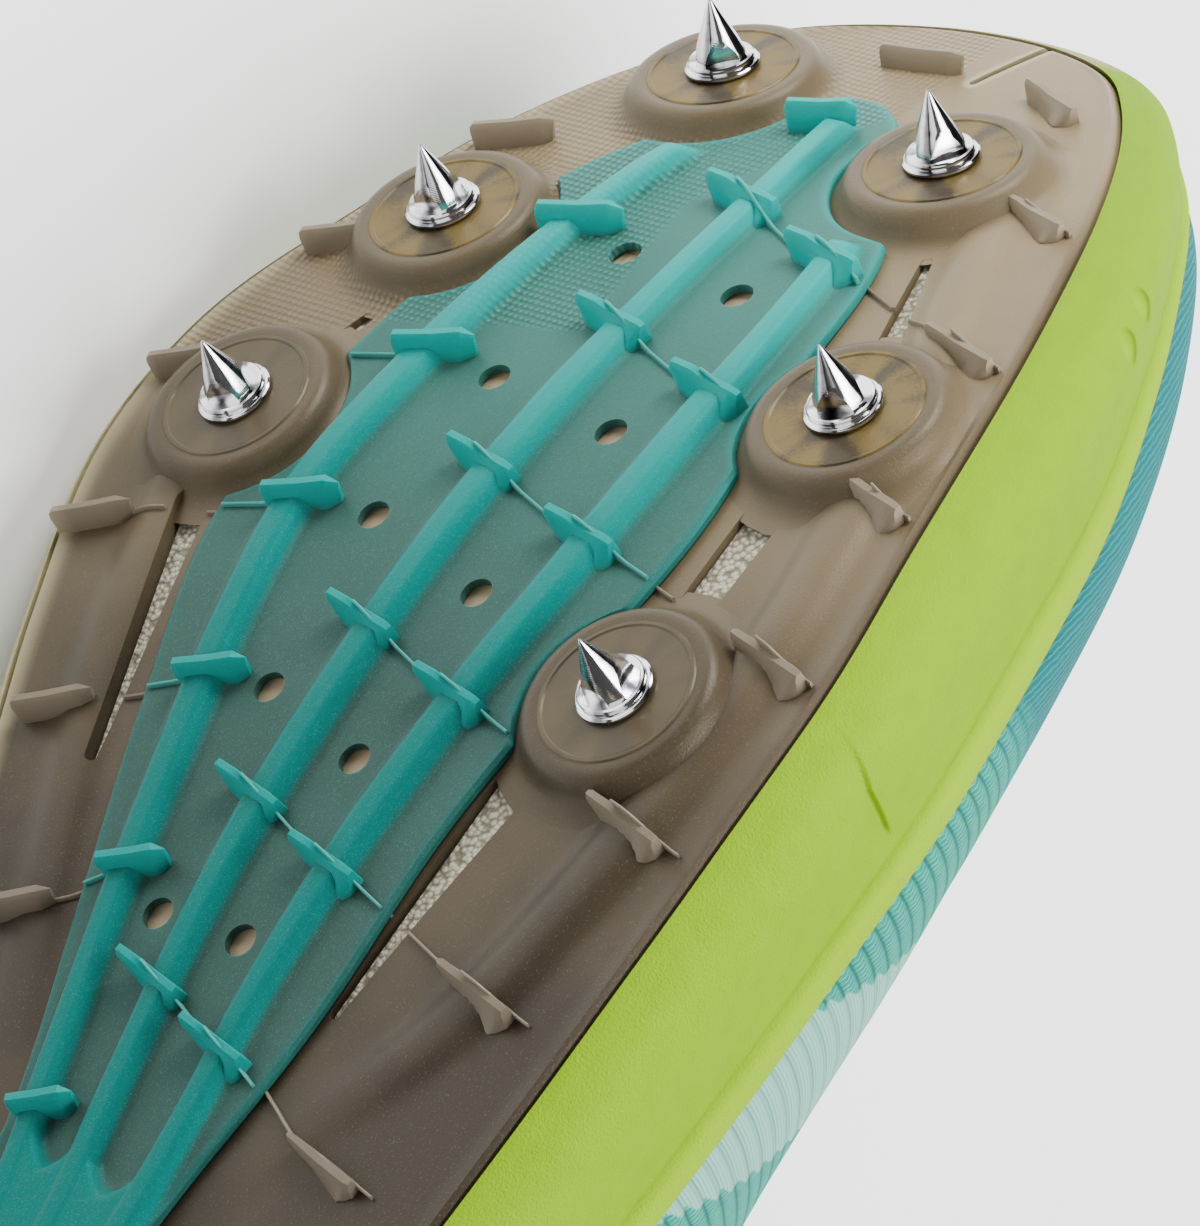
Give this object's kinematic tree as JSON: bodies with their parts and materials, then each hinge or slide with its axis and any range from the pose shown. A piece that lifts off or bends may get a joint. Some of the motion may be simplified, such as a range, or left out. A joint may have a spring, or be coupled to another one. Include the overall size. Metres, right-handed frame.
{
  "type": "cross country spike",
  "caption": "Left cross country running spike lying on its side: hollow knit upper, foam midsole, ribbed traction plate and screw-in metal spikes.",
  "frame": {"origin": "bottom centre of the bounding box, on the floor the shoe lies on", "axes": "toe to -X, heel to +X, ground side of the sole to -Y, lateral side up (+Z)"},
  "size_m": [0.2916, 0.1122, 0.1014],
  "materials": {
    "lime_foam": "matte foam",
    "grey_plate": "satin, slightly translucent",
    "teal_plate": "satin",
    "teal_knit": "knit",
    "tongue_fabric": "padded knit",
    "lace_fabric": "flat woven",
    "insole_fabric": "brushed",
    "brass_seat": "satin",
    "chrome_spike": "polished"
  },
  "bodies": {
    "root": {"upper": "teal_knit", "tongue": "tongue_fabric", "insole": "insole_fabric", "midsole": "lime_foam", "outsole_plate": "grey_plate", "traction_plate": "teal_plate", "lace_bar": "lace_fabric", "lace_crossing_1": "lace_fabric", "lace_crossing_2": "lace_fabric", "lace_crossing_3": "lace_fabric", "lace_crossing_4": "lace_fabric", "lace_crossing_5": "lace_fabric", "spike_seat_a": "brass_seat", "spike_seat_b": "brass_seat", "spike_seat_c": "brass_seat", "spike_seat_d": "brass_seat", "spike_seat_e": "brass_seat", "spike_seat_f": "brass_seat", "spike_a": "chrome_spike", "spike_b": "chrome_spike", "spike_c": "chrome_spike", "spike_d": "chrome_spike", "spike_e": "chrome_spike", "spike_f": "chrome_spike"}
  },
  "joints": []
}
